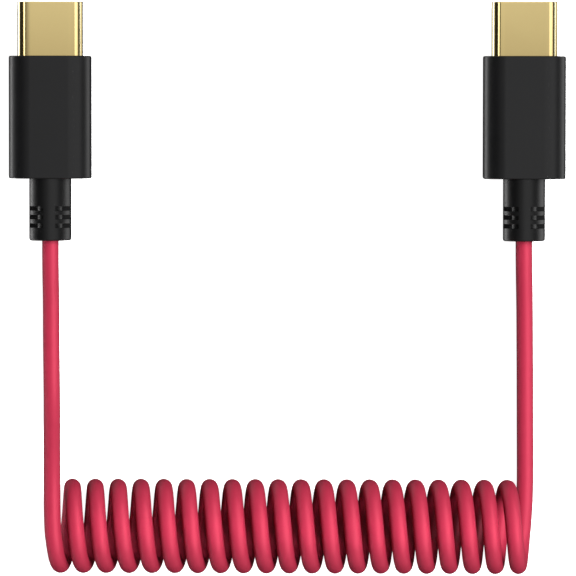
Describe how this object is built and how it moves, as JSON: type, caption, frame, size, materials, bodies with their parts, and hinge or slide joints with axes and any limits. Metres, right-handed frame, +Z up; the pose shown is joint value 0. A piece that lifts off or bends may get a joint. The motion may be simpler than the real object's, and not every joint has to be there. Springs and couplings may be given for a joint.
{
  "type": "coiled usb-c cable",
  "caption": "Short USB-C to USB-C charging cable: a thin crimson cord wound into a long open coil, with a gold-shelled plug in a black housing on each end",
  "frame": {"origin": "on the floor, midway between the two plugs and at the middle of their length", "axes": "+X along the coil from the left plug to the right plug, +Y the way the plug mouths face, +Z up from the floor that the cable lies on"},
  "size_m": [0.07, 0.0717, 0.0119],
  "materials": {
    "housing_plastic": "fine satin black",
    "relief_rubber": "satin black, flexible",
    "gold_shell": "bright gold plating",
    "gold_contact": "bright gold plating",
    "core_plastic": "moulded black",
    "spring_steel": "rolled steel",
    "cord_jacket": "smooth satin crimson jacket"
  },
  "bodies": {
    "root": {"left_housing": "housing_plastic", "right_housing": "housing_plastic", "left_strain_relief": "relief_rubber", "right_strain_relief": "relief_rubber", "left_shell": "gold_shell", "right_shell": "gold_shell", "left_insulator": "core_plastic", "right_insulator": "core_plastic", "left_latch": "spring_steel", "right_latch": "spring_steel", "left_upper_contact_1": "gold_contact", "left_upper_contact_4": "gold_contact", "left_upper_contact_5": "gold_contact", "left_upper_contact_6": "gold_contact", "left_upper_contact_7": "gold_contact", "left_upper_contact_9": "gold_contact", "left_upper_contact_12": "gold_contact", "left_lower_contact_1": "gold_contact", "left_lower_contact_4": "gold_contact", "left_lower_contact_5": "gold_contact", "left_lower_contact_9": "gold_contact", "left_lower_contact_12": "gold_contact", "right_upper_contact_1": "gold_contact", "right_upper_contact_4": "gold_contact", "right_upper_contact_5": "gold_contact", "right_upper_contact_6": "gold_contact", "right_upper_contact_7": "gold_contact", "right_upper_contact_9": "gold_contact", "right_upper_contact_12": "gold_contact", "right_lower_contact_1": "gold_contact", "right_lower_contact_4": "gold_contact", "right_lower_contact_5": "gold_contact", "right_lower_contact_9": "gold_contact", "right_lower_contact_12": "gold_contact", "left_lead": "cord_jacket", "coil": "cord_jacket", "right_lead": "cord_jacket"}
  },
  "joints": []
}
